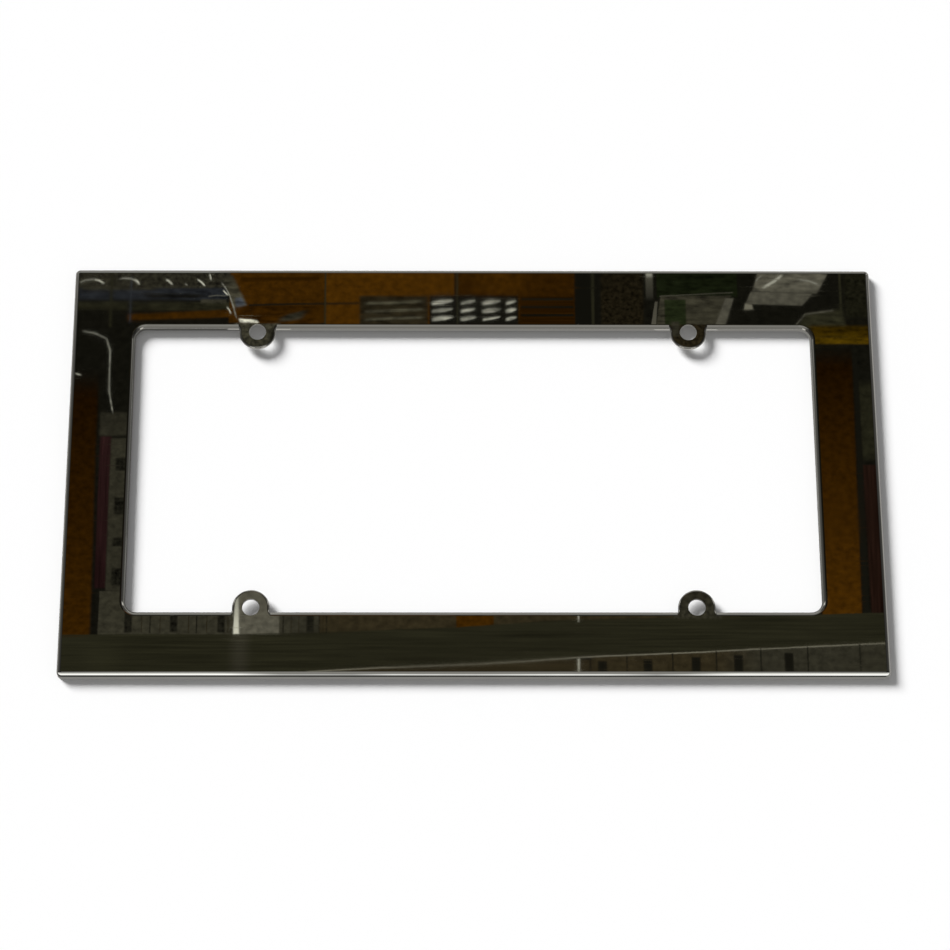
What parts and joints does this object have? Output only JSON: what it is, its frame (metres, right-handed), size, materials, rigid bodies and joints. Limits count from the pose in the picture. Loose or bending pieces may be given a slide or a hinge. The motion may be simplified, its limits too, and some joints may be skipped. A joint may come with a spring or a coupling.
{
  "type": "number plate holder",
  "caption": "Flat rectangular number plate frame pressed from polished sheet, with a turned-down rim, a large window and screw tabs at the window's edges.",
  "frame": {"origin": "centre of the frame's outline, on the surface that its flange stands on", "axes": "+X along the long rails, +Y towards the frame's upper rail, +Z out of the polished face"},
  "size_m": [0.33, 0.178, 0.0045],
  "materials": {
    "polished_sheet": "mirror polished, faint wipe marks"
  },
  "bodies": {
    "root": {"plate_frame": "polished_sheet"}
  },
  "joints": []
}
